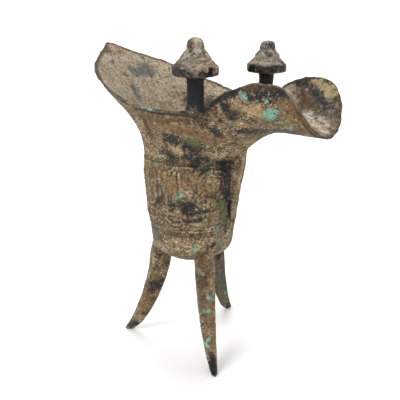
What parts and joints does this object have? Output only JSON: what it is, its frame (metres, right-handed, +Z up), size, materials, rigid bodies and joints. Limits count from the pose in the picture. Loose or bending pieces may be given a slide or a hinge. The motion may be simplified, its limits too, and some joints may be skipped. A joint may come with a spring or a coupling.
{
  "type": "bronze jue",
  "caption": "Cast bronze tripod wine cup with a long pouring spout, a pointed tail, capped posts on the rim, blade legs, a strap handle and a relief band.",
  "frame": {"origin": "on the floor under the middle of the vessel's box", "axes": "+Z up, +X along the spout, -X along the tail, +Y towards the handle"},
  "size_m": [0.16, 0.094, 0.2],
  "materials": {
    "patinated_bronze": "matt brown and green patina with earth crust on cast bronze"
  },
  "bodies": {
    "root": {"bronze_jue": "patinated_bronze"}
  },
  "joints": []
}
